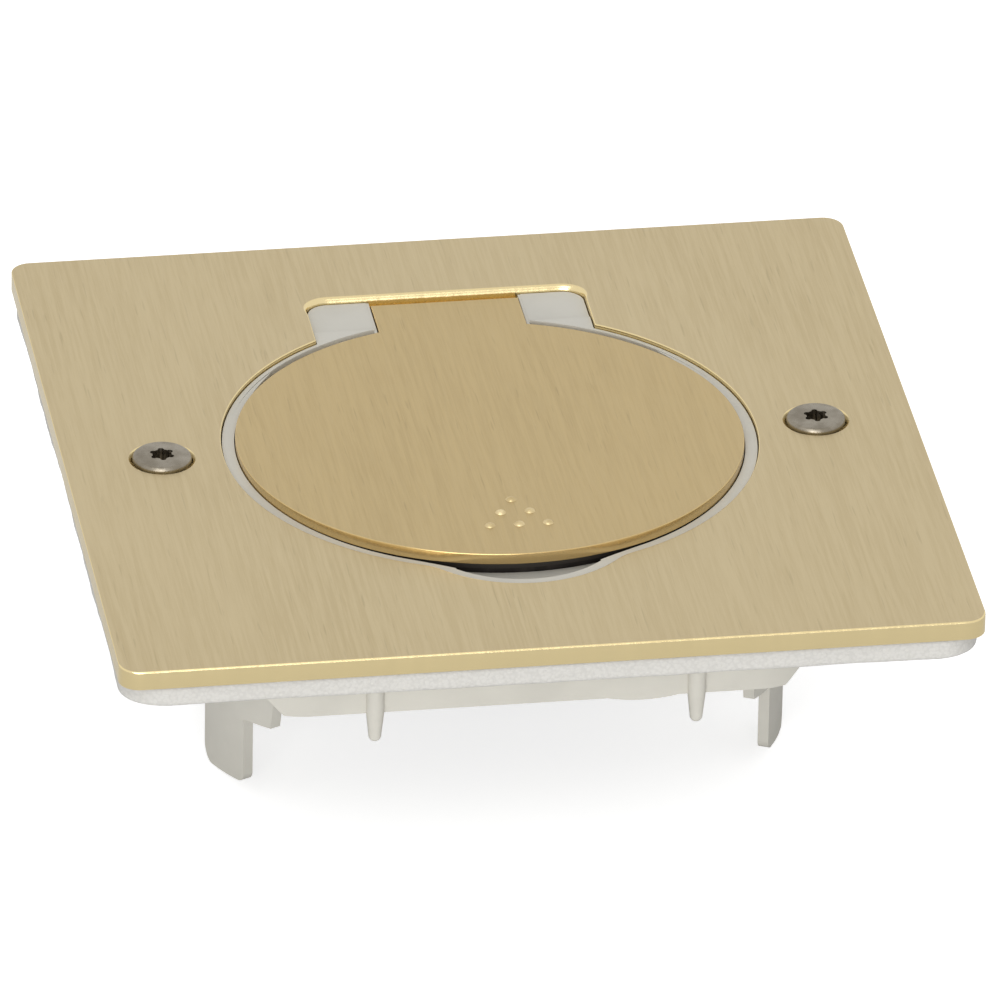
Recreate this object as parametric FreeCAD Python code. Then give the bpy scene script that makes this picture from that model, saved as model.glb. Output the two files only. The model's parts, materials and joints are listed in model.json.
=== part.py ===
import FreeCAD, Part
import math
import os

# A square flush floor socket with a hinged round lid. All sizes are in millimetres.
# The origin is the centre of the cover on the finished floor: the foam gasket's underside is z = 0.
# +Z points up out of the floor and the lid's hinge lies at the back, towards +Y.

# Socket insert: the 45 x 45 module that the opening is made round
INSERT_HALF = 22.5
INSERT_CORNER_R = 1.5
INSERT_EDGE_R = 0.4
INSERT_FACE_THICK = 2.4
INSERT_BODY_INSET = 1.0
INSERT_BODY_DEPTH = 9.6
INSERT_WINDOW_GAP = 0.3
INSERT_CORNER_GAP = 0.1015
WELL_TO_INSERT_GAP = 0.3
PIN_CIRCLE_R = 7.92
EARTH_CIRCLE_R = 10.3
SLOT_LENGTH = 7.4
SLOT_WIDTH = 2.2
DISH_RIM = 3.5
DISH_DEPTH = 0.6
CHAMBER_DEPTH = 16.6
CHAMBER_WALL = 1.2
CHAMBER_GAP = 0.3
CONTACT_WIDTH = 6.0
CONTACT_THICK = 0.5
CONTACT_MOUTH = 1.9
CONTACT_FLARE = 0.45
TERMINAL_LONG = 6.0
TERMINAL_DEEP = 6.0
TERMINAL_HIGH = 6.4
WIRE_HOLE_R = 1.6
WIRE_HOLE_RISE = 3.84
TERMINAL_SCREW_R = 1.2
TERMINAL_SCREW_HEAD_R = 1.5
TERMINAL_SCREW_HEAD = 1.0
SHUTTER_THICK = 0.9
SHUTTER_TRAVEL = 3.4
SHUTTER_CLEAR = 0.3
SHUTTER_MARGIN = 1.2
SHUTTER_SPRING_ROOM = 2.2
SHUTTER_SPRING_LEAF = 0.3
BODY_SCREW_R = 1.0
BODY_SCREW_HEAD_R = 1.9
BODY_SCREW_HEAD = 1.1
BODY_SCREW_FROM_SIDE = 4.9
BODY_SCREW_FROM_END = 7.5
BODY_SCREW_SKIN = 0.6
BODY_SCREW_TIP_GAP = 0.2
CLIP_THICK = 0.6
CLIP_WIDTH = 9.0
CLIP_HOOK = 3.0
DRIVER_SLOT_WIDTH = 0.5
DRIVER_SLOT_DEPTH = 0.5

# Foam gasket
GASKET_THICK = 2.7
GASKET_INSET = 0.4
GASKET_CORNER_R = 6.0
GASKET_FIT = 0.4

# Cover plate
PLATE_THICK = 2.3
PLATE_CORNER_R = 2.4
PLATE_EDGE_R = 0.5
PLATE_PAST_SCREW = 11.5
NOTCH_HALF_WIDTH = 16.6
NOTCH_REACH = 5.3
NOTCH_CORNER_R = 2.6
RECESS_REACH = 3.3
RECESS_R = 14.0
RECESS_BLEND_R = 7.0

# Cover screws and the rings that keep them captive
SCREW_FROM_FRAME = 3.5
SCREW_LENGTH = 25.0
SCREW_THREAD_R = 1.75
SCREW_NECK_R = 1.45
SCREW_HOLE_R = 1.9
SCREW_HEAD_R = 3.45
SCREW_HEAD_RIM = 0.75
SCREW_HEAD_PROUD = 0.5
SCREW_HEAD_EDGE_R = 0.45
SCREW_HEAD_DOME = 0.1
SCREW_NECK_END = -0.9
SCREW_TIP_CHAMFER = 0.6
COUNTERSINK_GAP = 0.45
STAR_CORE_R = 1.12
STAR_LOBE_R = 0.36
STAR_LOBES = 6
STAR_DEPTH = 1.5
RETAINER_R = 2.7
RETAINER_THICK = 1.0
RETAINER_FIT = 0.05

# Lid, which its soft seal holds a little open at the front
LID_RING = 1.15
LID_THICK = 1.3
LID_EDGE_R = 0.65
LID_TAB_HALF_WIDTH = 8.75
LID_LIFT = 1.4
PIP_R = 0.65
PIP_HEIGHT = 0.32
PIP_PITCH_X = 3.4
PIP_PITCH_Y = 3.1
PIP_ROWS = 3
PIP_FIRST_ROW = 16.1
CARRIER_STEP = 2.1
CARRIER_THICK = 1.4
CARRIER_SHELL = 0.8
CARRIER_RIM = 4.2
CARRIER_TAB_INSET = 0.3
CARRIER_RIB = 1.2
CARRIER_RIBS = 6
SEAL_WIDTH = 1.6
SEAL_THICK = 1.0
SEAL_EDGE_INSET = 0.1
LID_SCREW_CIRCLE_R = 17.0
LID_SCREWS = 3
LID_SCREW_R = 0.8
LID_SCREW_HEAD_R = 1.4
LID_SCREW_BITE = 0.8
LID_SCREW_BOSS_R = 2.6

# Hinge
BARREL_R = 3.0
BARREL_GAP = 0.5
HINGE_PIN_R = 0.9
HINGE_PIN_HALF = 13.6
HINGE_PIN_FIT = 0.03
KNUCKLE_R = 2.1
KNUCKLE_FIT = 0.05
KNUCKLE_RUNNING = 0.05
SPRING_WIRE_R = 0.3
SPRING_COILS = 10
SPRING_INNER_R = 1.0
SPRING_END_GAP = 0.25
SPRING_LEG_REACH = 4.4

# Collar that lines the opening
COLLAR_FIT = 0.12
COLLAR_DROP = 0.5
LID_GAP = 0.25
LID_SWING_ROOM = 0.4
LID_FLOOR_GAP = 0.2
CHANNEL_GAP = 0.5
SEAL_POCKET_GAP = 0.5
SEAL_GAP = 0.1
WELL_LAND = 2.55
WELL_DEPTH = 4.4
WELL_TAPER = 0.9
RECESS_RIM = 1.6
RECESS_SLOPE = 0.6
BLOCK_STEP = 0.25
BLOCK_STEP_FROM_BACK = 7.2
COLLAR_BOSS_R = 2.6
COLLAR_BOSS_FROM_EDGE = 3.7
COLLAR_SCREW_R = 1.1
COLLAR_SCREW_HEAD_R = 2.1
COLLAR_SCREW_HEAD = 1.2
COLLAR_SCREW_BITE = 5.0

# Support frame
FRAME_FIT = 0.25
FRAME_WALL = 1.6
FRAME_SIDE_ROOM = 3.7
FRAME_CORNER_R = 9.0
SKIRT_DEPTH = 9.85
SKIRT_SIDE_DEPTH = 8.0
SKIRT_STEP_FROM_SIDE = 5.8
LUG_R = 5.0
PEG_X = 18.7
PEG_R = 1.05
PEG_TIP_R = 0.75
PEG_DEPTH = 13.5
LIP_X = 12.5
LIP_WIDTH = 8.4
LIP_DEPTH = 0.45
LEG_FROM_FRAME = 0.1
LEG_WALL = 1.3
LEG_HEEL_DEPTH = 31.2
LEG_TOE_DEPTH = 29.7
LEG_HEEL_R = 2.0
LEG_TOE_R = 1.2
LEG_HEEL_ANGLE = 11.5
LEG_TOE_ANGLE = 27.5
WEB_ANGLE = 35.5
WEB_END_ANGLE = 38.0
WEB_DEPTH = 20.4
WEB_DROP = 0.9

# Plan sizes that follow from the sizes above, from the insert outwards
INSERT_REACH = INSERT_HALF * math.sqrt(2) - INSERT_CORNER_R * (math.sqrt(2) - 1)
OPENING_R = INSERT_REACH + INSERT_CORNER_GAP
NOTCH_BACK = OPENING_R + NOTCH_REACH
RECESS_FRONT = OPENING_R + RECESS_REACH
RECESS_Y = RECESS_R - RECESS_FRONT
FRAME_HALF_X = OPENING_R + FRAME_SIDE_ROOM
FRAME_BACK = NOTCH_BACK + FRAME_FIT + FRAME_WALL
FRAME_FRONT = RECESS_FRONT + FRAME_FIT + FRAME_WALL
LEG_R = FRAME_HALF_X - LEG_FROM_FRAME
SCREW_X = FRAME_HALF_X + SCREW_FROM_FRAME
PLATE_HALF = SCREW_X + PLATE_PAST_SCREW
LID_R = OPENING_R - LID_RING
CARRIER_R = LID_R - CARRIER_STEP
WELL_R = CARRIER_R - WELL_LAND
COLLAR_BOSS_CIRCLE_R = OPENING_R - COLLAR_BOSS_FROM_EDGE
HINGE_Y = NOTCH_BACK - BARREL_GAP - BARREL_R
BLOCK_STEP_Y = NOTCH_BACK - BLOCK_STEP_FROM_BACK
DISH_R = INSERT_HALF - DISH_RIM
BODY_SCREW_X = INSERT_HALF - BODY_SCREW_FROM_SIDE
BODY_SCREW_Y = INSERT_HALF - BODY_SCREW_FROM_END

# Levels that follow from the sizes above; the lid's are those of the lid pressed shut
PLATE_BOTTOM = GASKET_THICK
PLATE_TOP = PLATE_BOTTOM + PLATE_THICK
COLLAR_TOP = PLATE_TOP - COLLAR_DROP
LID_TOP = COLLAR_TOP
LID_BOTTOM = LID_TOP - LID_THICK
CARRIER_BOTTOM = LID_BOTTOM - CARRIER_THICK
SEAL_BOTTOM = CARRIER_BOTTOM - SEAL_THICK
HINGE_Z = LID_TOP - BARREL_R
POCKET_FLOOR = LID_BOTTOM - LID_FLOOR_GAP
SEAT = SEAL_BOTTOM - SEAL_GAP
COLLAR_BOTTOM = SEAT - WELL_DEPTH
INSERT_TOP = COLLAR_BOTTOM - WELL_TO_INSERT_GAP
INSERT_SEAT = INSERT_TOP - INSERT_FACE_THICK
BODY_BOTTOM = INSERT_SEAT - INSERT_BODY_DEPTH
CHAMBER_BOTTOM = INSERT_SEAT - CHAMBER_DEPTH
FLANGE_BOTTOM = PLATE_BOTTOM - FRAME_WALL
FRAME_FLOOR_BOTTOM = INSERT_SEAT - FRAME_WALL
SHUTTER_TOP = INSERT_SEAT - SHUTTER_CLEAR
SHUTTER_BOTTOM = SHUTTER_TOP - SHUTTER_THICK
SHUTTER_POCKET = SHUTTER_BOTTOM - SHUTTER_CLEAR
CONTACT_TOP = SHUTTER_POCKET - CHAMBER_GAP
CONTACT_BOTTOM = CHAMBER_BOTTOM + CHAMBER_WALL
TERMINAL_TOP = CONTACT_TOP - CHAMBER_GAP
TERMINAL_BOTTOM = TERMINAL_TOP - TERMINAL_HIGH
TERMINAL_OUT = CONTACT_MOUTH / 2 + CONTACT_THICK + TERMINAL_DEEP / 2

# Poles of the socket: name, distance from the centre, direction in degrees from +X, and the
# direction that the terminal faces, which is square to its slot
POLES = (
    ("live", PIN_CIRCLE_R, 210.0, 210.0),
    ("neutral", PIN_CIRCLE_R, 330.0, 330.0),
    ("earth", EARTH_CIRCLE_R, 90.0, 0.0),
)

OVER = 1.0  # how far a cutting tool runs past the face that it opens
V = FreeCAD.Vector


def block(x0, x1, y0, y1, z0, z1):
    return Part.makeBox(x1 - x0, y1 - y0, z1 - z0, V(x0, y0, z0))


def rod(radius, z0, z1, x=0.0, y=0.0):
    return Part.makeCylinder(radius, z1 - z0, V(x, y, z0))


def cross_rod(radius, x0, x1, y, z):
    """A rod that lies along X."""
    return Part.makeCylinder(radius, x1 - x0, V(x0, y, z), V(1, 0, 0))


def ring(outer, inner, z0, z1):
    return rod(outer, z0, z1).cut(rod(inner, z0, z1))


def taper(r0, r1, z0, z1, x=0.0, y=0.0):
    """A round taper from r0 at z0 to r1 at z1."""
    return Part.makeCone(r0, r1, z1 - z0, V(x, y, z0))


def turned(shape, degrees):
    copy = shape.copy()
    copy.rotate(V(0, 0, 0), V(0, 0, 1), degrees)
    return copy


def moved(shape, x, y, z=0.0):
    copy = shape.copy()
    copy.translate(V(x, y, z))
    return copy


def left_and_right(shape):
    return [shape, shape.mirror(V(0, 0, 0), V(1, 0, 0))]


def four_ways(shape):
    """The shape with its mirror images left and right, front and back."""
    pair = left_and_right(shape)
    return pair + [s.mirror(V(0, 0, 0), V(0, 1, 0)) for s in pair]


def joined(shapes):
    return shapes[0].multiFuse(shapes[1:]).removeSplitter()


def face_of(edges):
    return Part.Face(Part.Wire(edges))


def arc(start, middle, end):
    return Part.Arc(start, middle, end).toShape()


def polygon(points):
    return Part.Face(Part.makePolygon(points + [points[0]]))


def rounded_prism(half_x, half_y, radius, z0, z1):
    """An upright prism whose four corners are rounded."""
    prism = block(-half_x, half_x, -half_y, half_y, z0, z1)
    upright = [e for e in prism.Edges if e.BoundBox.ZLength > (z1 - z0) / 2]
    return prism.makeFillet(radius, upright)


def round_level_edges(shape, level, radius):
    """Round every edge of the shape that lies flat at one level."""
    edges = [e for e in shape.Edges if level_of(e) is not None and abs(level_of(e) - level) < 1e-6]
    return shape.makeFillet(radius, edges)


def level_of(edge):
    box = edge.BoundBox
    if box.ZLength > 1e-6:
        return None
    return box.ZMin


def arc_wall(outer, inner, angle0, angle1, z0, z1):
    """A stretch of a round wall between two angles in degrees, measured from +X."""
    sweep = angle1 - angle0
    solid = Part.makeCylinder(outer, z1 - z0, V(0, 0, z0), V(0, 0, 1), sweep)
    hollow = Part.makeCylinder(inner, z1 - z0, V(0, 0, z0), V(0, 0, 1), sweep)
    return turned(solid.cut(hollow), angle0)


def lifted(shape):
    """Turn a piece of the lid about the hinge, from pressed shut to where the soft seal holds it."""
    copy = shape.copy()
    copy.rotate(V(0, HINGE_Y, HINGE_Z), V(-1, 0, 0), LID_LIFT)
    return copy


def driver_slot(head_r, low):
    """A slot across a screw's head, drawn at the origin; it opens downwards at the given level."""
    half = DRIVER_SLOT_WIDTH / 2
    return block(-head_r, head_r, -half, half, low, low + DRIVER_SLOT_DEPTH)


def across(point):
    """The point's mirror image on the other side of the Y axis."""
    return V(-point.x, point.y, point.z)


def opening_outline(grow):
    """The opening in the cover plate, grown all round: a circle, a hinge notch and a finger recess."""
    big = OPENING_R + grow
    small = RECESS_R + grow
    far = OPENING_R + RECESS_BLEND_R
    near = RECESS_R + RECESS_BLEND_R
    blend_y = (far ** 2 - near ** 2 + RECESS_Y ** 2) / (2 * RECESS_Y)
    blend_x = math.sqrt(far ** 2 - blend_y ** 2)
    blend_centre = V(blend_x, blend_y, 0)
    small_centre = V(0, RECESS_Y, 0)
    on_big = blend_centre * (big / far)
    on_small = small_centre + (blend_centre - small_centre) * (small / near)
    to_big = (V(0, 0, 0) - blend_centre).normalize()
    to_small = (small_centre - blend_centre).normalize()
    on_blend = blend_centre + (to_big + to_small).normalize() * (RECESS_BLEND_R - grow)
    half = NOTCH_HALF_WIDTH + grow
    corner = NOTCH_CORNER_R + grow
    foot = V(half, math.sqrt(big ** 2 - half ** 2), 0)
    corner_centre = V(half - corner, NOTCH_BACK + grow - corner, 0)
    corner_low = corner_centre + V(corner, 0, 0)
    corner_middle = corner_centre + V(1, 1, 0).normalize() * corner
    corner_high = corner_centre + V(0, corner, 0)
    edges = [arc(across(on_small), V(0, RECESS_Y - small, 0), on_small)]
    edges += [arc(on_small, on_blend, on_big), arc(on_big, V(big, 0, 0), foot)]
    edges += [Part.makeLine(foot, corner_low), arc(corner_low, corner_middle, corner_high)]
    edges += [Part.makeLine(corner_high, across(corner_high))]
    edges += [arc(across(corner_high), across(corner_middle), across(corner_low))]
    edges += [Part.makeLine(across(corner_low), across(foot))]
    edges += [arc(across(foot), V(-big, 0, 0), across(on_big))]
    edges += [arc(across(on_big), across(on_blend), across(on_small))]
    return face_of(edges)


def opening_prism(grow, z0, z1):
    return moved(opening_outline(grow), 0, 0, z0).extrude(V(0, 0, z1 - z0))


def skirt_prism(inset, z0, z1):
    """The skirt's outline: a rounded rectangle that reaches further at the back than at the front."""
    half_y = (FRAME_BACK + FRAME_FRONT) / 2 - inset
    prism = rounded_prism(FRAME_HALF_X - inset, half_y, FRAME_CORNER_R - inset, z0, z1)
    return moved(prism, 0, (FRAME_BACK - FRAME_FRONT) / 2)


def frame_plan(grow, z0, z1):
    """The support frame's outline with its two screw lugs, grown all round."""
    lug = rod(LUG_R + grow, z0, z1, SCREW_X)
    neck = block(0, SCREW_X, -LUG_R - grow, LUG_R + grow, z0, z1)
    return joined([skirt_prism(-grow, z0, z1)] + left_and_right(lug.fuse(neck)))


def cover_plate():
    plate = rounded_prism(PLATE_HALF, PLATE_HALF, PLATE_CORNER_R, PLATE_BOTTOM, PLATE_TOP)
    plate = plate.cut(opening_prism(0, PLATE_BOTTOM - OVER, PLATE_TOP + OVER))
    plate = round_level_edges(plate, PLATE_TOP, PLATE_EDGE_R)
    sink_r = SCREW_HEAD_R + COUNTERSINK_GAP
    sink = taper(SCREW_HOLE_R, sink_r, PLATE_TOP - sink_r + SCREW_HOLE_R, PLATE_TOP, SCREW_X)
    sink = sink.fuse(rod(SCREW_HOLE_R, PLATE_BOTTOM - OVER, PLATE_TOP, SCREW_X))
    return plate.cut(left_and_right(sink))


def peg_places():
    return [(x, y) for x in (-PEG_X, PEG_X) for y in (-FRAME_FRONT, FRAME_BACK)]


def floor_gasket():
    half = PLATE_HALF - GASKET_INSET
    pad = rounded_prism(half, half, GASKET_CORNER_R, 0, GASKET_THICK)
    notches = [rod(PEG_R + GASKET_FIT, -OVER, GASKET_THICK + OVER, x, y) for x, y in peg_places()]
    return pad.cut([frame_plan(GASKET_FIT, -OVER, GASKET_THICK + OVER)] + notches)


def leg_corners():
    """A guide leg seen square on: the angle and level of each corner, and how far it is rounded."""
    return (
        (LEG_HEEL_ANGLE, FLANGE_BOTTOM, 0.0),
        (LEG_HEEL_ANGLE, -LEG_HEEL_DEPTH, LEG_HEEL_R),
        (LEG_TOE_ANGLE, -LEG_TOE_DEPTH, LEG_TOE_R),
        (LEG_TOE_ANGLE, -WEB_DEPTH - WEB_DROP, 0.0),
        (WEB_ANGLE, -WEB_DEPTH, 0.0),
        (WEB_END_ANGLE, -SKIRT_SIDE_DEPTH, 0.0),
        (WEB_END_ANGLE, FLANGE_BOTTOM, 0.0),
    )


def guide_leg():
    """The guide leg at the right and back: a curved blade with a shorter web beside it."""
    middle = (LEG_HEEL_ANGLE + WEB_END_ANGLE) / 2
    inner = LEG_R - LEG_WALL
    points = []
    for angle, level, radius in leg_corners():
        points.append(V(inner - OVER, LEG_R * math.sin(math.radians(angle - middle)), level))
    stencil = polygon(points).extrude(V(LEG_WALL + 2 * OVER + LEG_R - LEG_R * math.cos(math.radians(middle)), 0, 0))
    for point, corner in zip(points, leg_corners()):
        if corner[2] > 0:
            edges = [e for e in stencil.Edges if e.distToShape(Part.Vertex(point))[0] < 1e-6]
            edges = [e for e in edges if e.BoundBox.XLength > LEG_WALL]
            stencil = stencil.makeFillet(corner[2], edges)
    half_sweep = (WEB_END_ANGLE - LEG_HEEL_ANGLE) / 2
    wall = arc_wall(LEG_R, inner, -half_sweep, half_sweep, -LEG_HEEL_DEPTH, FLANGE_BOTTOM)
    return turned(wall.common(moved(stencil, -LEG_R / 4, 0).fuse(stencil)), middle)


def peg(x, y):
    """An upright rib on the skirt that ends in a tapered round tip."""
    rib = rod(PEG_R, -SKIRT_DEPTH, FLANGE_BOTTOM, x, y)
    tip_z = -PEG_DEPTH + PEG_TIP_R
    point = taper(PEG_TIP_R, PEG_R, tip_z, -SKIRT_DEPTH, x, y)
    tip = Part.makeSphere(PEG_TIP_R, V(x, y, tip_z))
    return rib.fuse([point, tip])


def collar_screw_places():
    for turn in range(4):
        yield turned(Part.Vertex(COLLAR_BOSS_CIRCLE_R, 0, 0), 90.0 * turn).Point


def skirt():
    """The wall under the flange; beside the legs it is shorter, with a sloping step."""
    wall = skirt_prism(0, -SKIRT_DEPTH, FLANGE_BOTTOM).cut(skirt_prism(FRAME_WALL, -SKIRT_DEPTH, FLANGE_BOTTOM))
    step = SKIRT_DEPTH - SKIRT_SIDE_DEPTH
    step_x = FRAME_HALF_X - SKIRT_STEP_FROM_SIDE
    past = FRAME_HALF_X + OVER
    profile = [(step_x, SKIRT_DEPTH), (step_x + step, SKIRT_SIDE_DEPTH), (past, SKIRT_SIDE_DEPTH), (past, SKIRT_DEPTH)]
    wedge = polygon([V(x, -FRAME_FRONT - OVER, -depth) for x, depth in profile])
    wedge = wedge.extrude(V(0, FRAME_FRONT + FRAME_BACK + 2 * OVER, 0))
    return wall.cut(left_and_right(wedge))


def skirt_lip():
    """A shallow bulge on the lower edge of the skirt's front, right of the middle."""
    radius = (LIP_WIDTH ** 2 / 4 + LIP_DEPTH ** 2) / (2 * LIP_DEPTH)
    start = V(LIP_X, -FRAME_FRONT, -SKIRT_DEPTH - LIP_DEPTH + radius)
    disc = Part.makeCylinder(radius, FRAME_WALL, start, V(0, 1, 0))
    low = -SKIRT_DEPTH - LIP_DEPTH
    half = LIP_WIDTH / 2
    below = block(LIP_X - half, LIP_X + half, -FRAME_FRONT, FRAME_WALL - FRAME_FRONT, low, -SKIRT_DEPTH)
    return disc.common(below)


def support_frame():
    cup = opening_prism(FRAME_FIT + FRAME_WALL, FRAME_FLOOR_BOTTOM, PLATE_BOTTOM)
    pieces = [frame_plan(0, FLANGE_BOTTOM, PLATE_BOTTOM), skirt(), skirt_lip(), cup]
    pieces += four_ways(guide_leg())
    pieces += [peg(x, y) for x, y in peg_places()]
    frame = joined(pieces)
    window = INSERT_HALF - INSERT_BODY_INSET + INSERT_WINDOW_GAP
    cuts = [opening_prism(FRAME_FIT, INSERT_SEAT, PLATE_BOTTOM + OVER)]
    cuts.append(rounded_prism(window, window, INSERT_CORNER_R, FRAME_FLOOR_BOTTOM - OVER, INSERT_SEAT + OVER))
    cuts += left_and_right(rod(SCREW_HOLE_R, FLANGE_BOTTOM - OVER, PLATE_BOTTOM + OVER, SCREW_X))
    for place in collar_screw_places():
        cuts.append(rod(COLLAR_SCREW_R + FRAME_FIT, FRAME_FLOOR_BOTTOM - OVER, INSERT_SEAT + OVER, place.x, place.y))
    return frame.cut(cuts)


def star_recess(top):
    """A six-lobed star recess that opens at the given level."""
    core = rod(STAR_CORE_R, top - STAR_DEPTH, top + OVER)
    lobe = rod(STAR_LOBE_R, top - STAR_DEPTH, top + OVER, STAR_CORE_R)
    lobes = [turned(lobe, 90.0 + 360.0 * i / STAR_LOBES) for i in range(STAR_LOBES)]
    return core.fuse(lobes)


def cover_screw():
    rim_top = PLATE_TOP + SCREW_HEAD_PROUD
    rim_low = rim_top - SCREW_HEAD_RIM
    crown = V(0, 0, rim_top + SCREW_HEAD_DOME)
    sphere_r = (SCREW_HEAD_R ** 2 + SCREW_HEAD_DOME ** 2) / (2 * SCREW_HEAD_DOME)
    dome = Part.makeSphere(sphere_r, crown - V(0, 0, sphere_r))
    dome = dome.common(rod(SCREW_HEAD_R, rim_top, crown.z + OVER))
    head = rod(SCREW_HEAD_R, rim_low, rim_top).fuse(dome)
    cone_low = rim_low - SCREW_HEAD_R + SCREW_NECK_R
    cone = taper(SCREW_NECK_R, SCREW_HEAD_R, cone_low, rim_low)
    neck = rod(SCREW_NECK_R, SCREW_NECK_END, cone_low)
    tip = rim_top - SCREW_LENGTH
    thread = rod(SCREW_THREAD_R, tip + SCREW_TIP_CHAMFER, SCREW_NECK_END)
    point = taper(SCREW_THREAD_R - SCREW_TIP_CHAMFER, SCREW_THREAD_R, tip, tip + SCREW_TIP_CHAMFER)
    head = round_level_edges(head.removeSplitter(), rim_top, SCREW_HEAD_EDGE_R)
    screw = joined([head, cone, neck, thread, point])
    return screw.cut(star_recess(crown.z))


def cover_screws():
    return left_and_right(moved(cover_screw(), SCREW_X, 0))


def screw_retainers():
    washer = rod(RETAINER_R, FLANGE_BOTTOM - RETAINER_THICK, FLANGE_BOTTOM, SCREW_X)
    hole = rod(SCREW_NECK_R + RETAINER_FIT, FLANGE_BOTTOM - RETAINER_THICK, FLANGE_BOTTOM, SCREW_X)
    return left_and_right(washer.cut(hole))


def collar():
    body = opening_prism(-COLLAR_FIT, COLLAR_BOTTOM, COLLAR_TOP)
    for place in collar_screw_places():
        body = body.fuse(rod(COLLAR_BOSS_R, INSERT_SEAT, COLLAR_BOTTOM, place.x, place.y))
    pocket_r = LID_R + LID_GAP
    seal_pocket_r = CARRIER_R + SEAL_POCKET_GAP
    channel = LID_TAB_HALF_WIDTH + CHANNEL_GAP
    channel_floor = HINGE_Z - BARREL_R - CHANNEL_GAP
    recess_top = RECESS_R - COLLAR_FIT - RECESS_RIM
    past_back = NOTCH_BACK + OVER
    cuts = [rod(pocket_r, POCKET_FLOOR, COLLAR_TOP + OVER)]
    cuts.append(rod(pocket_r, POCKET_FLOOR, COLLAR_TOP + OVER, 0, LID_SWING_ROOM))
    cuts.append(rod(seal_pocket_r, SEAT, COLLAR_TOP))
    cuts.append(taper(WELL_R - WELL_TAPER, WELL_R, COLLAR_BOTTOM, SEAT))
    cuts.append(block(-channel, channel, 0, HINGE_Y, SEAT, COLLAR_TOP + OVER))
    cuts.append(block(-channel, channel, seal_pocket_r, past_back, channel_floor, COLLAR_TOP + OVER))
    cuts.append(taper(recess_top - RECESS_SLOPE, recess_top, POCKET_FLOOR, COLLAR_TOP, 0, RECESS_Y))
    step = COLLAR_TOP - BLOCK_STEP
    cuts.append(block(-NOTCH_HALF_WIDTH, NOTCH_HALF_WIDTH, BLOCK_STEP_Y, past_back, step, COLLAR_TOP + OVER))
    bore = HINGE_PIN_R + HINGE_PIN_FIT
    cuts.append(cross_rod(bore, -HINGE_PIN_HALF, HINGE_PIN_HALF, HINGE_Y, HINGE_Z))
    for place in collar_screw_places():
        cuts.append(rod(COLLAR_SCREW_R, INSERT_SEAT, INSERT_SEAT + COLLAR_SCREW_BITE, place.x, place.y))
    return body.cut(cuts)


def collar_screws():
    screws = []
    for place in collar_screw_places():
        low = FRAME_FLOOR_BOTTOM
        head = rod(COLLAR_SCREW_HEAD_R, low - COLLAR_SCREW_HEAD, low)
        slot = driver_slot(COLLAR_SCREW_HEAD_R, low - COLLAR_SCREW_HEAD)
        shank = rod(COLLAR_SCREW_R, low, INSERT_SEAT + COLLAR_SCREW_BITE - FRAME_FIT)
        screws.append(moved(head.fuse(shank).cut(slot), place.x, place.y))
    return screws


def lid_pips():
    """Raised pips near the lid's front edge: a plain mark without letters."""
    sphere_r = (PIP_R ** 2 + PIP_HEIGHT ** 2) / (2 * PIP_HEIGHT)
    ball = Part.makeSphere(sphere_r, V(0, 0, LID_TOP + PIP_HEIGHT - sphere_r))
    pip = ball.common(rod(PIP_R, LID_TOP - PIP_HEIGHT, LID_TOP + OVER))
    pips = []
    for row in range(PIP_ROWS):
        for column in range(row + 1):
            x = (column - row / 2) * PIP_PITCH_X
            pips.append(moved(pip, x, -PIP_FIRST_ROW - row * PIP_PITCH_Y))
    return pips


def lid_screw_places():
    for i in range(LID_SCREWS):
        yield turned(Part.Vertex(0, -LID_SCREW_CIRCLE_R, 0), 360.0 * i / LID_SCREWS).Point


def lid_plate():
    disc = rod(LID_R, LID_BOTTOM, LID_TOP)
    tab = block(-LID_TAB_HALF_WIDTH, LID_TAB_HALF_WIDTH, 0, HINGE_Y, LID_BOTTOM, LID_TOP)
    plate = joined([disc, tab])
    top_rim = [e for e in plate.Edges if level_of(e) == LID_TOP and e.BoundBox.YMax < HINGE_Y - 1e-3]
    plate = plate.makeFillet(LID_EDGE_R, top_rim)
    roll = cross_rod(BARREL_R, -LID_TAB_HALF_WIDTH, LID_TAB_HALF_WIDTH, HINGE_Y, HINGE_Z)
    quarter = block(-LID_TAB_HALF_WIDTH, LID_TAB_HALF_WIDTH, HINGE_Y, NOTCH_BACK, HINGE_Z, LID_TOP)
    plate = plate.fuse(roll.common(quarter))
    groove = KNUCKLE_R + KNUCKLE_FIT
    cuts = [cross_rod(groove, -LID_TAB_HALF_WIDTH, LID_TAB_HALF_WIDTH, HINGE_Y, HINGE_Z)]
    for place in lid_screw_places():
        cuts.append(rod(LID_SCREW_R, LID_BOTTOM, LID_BOTTOM + LID_SCREW_BITE, place.x, place.y))
    return lifted(plate.cut(cuts).fuse(lid_pips()).removeSplitter())


def knuckle_inner_x():
    """Where the lid's two knuckles begin, each side of the spring."""
    return SPRING_COILS * SPRING_WIRE_R + SPRING_END_GAP


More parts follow.
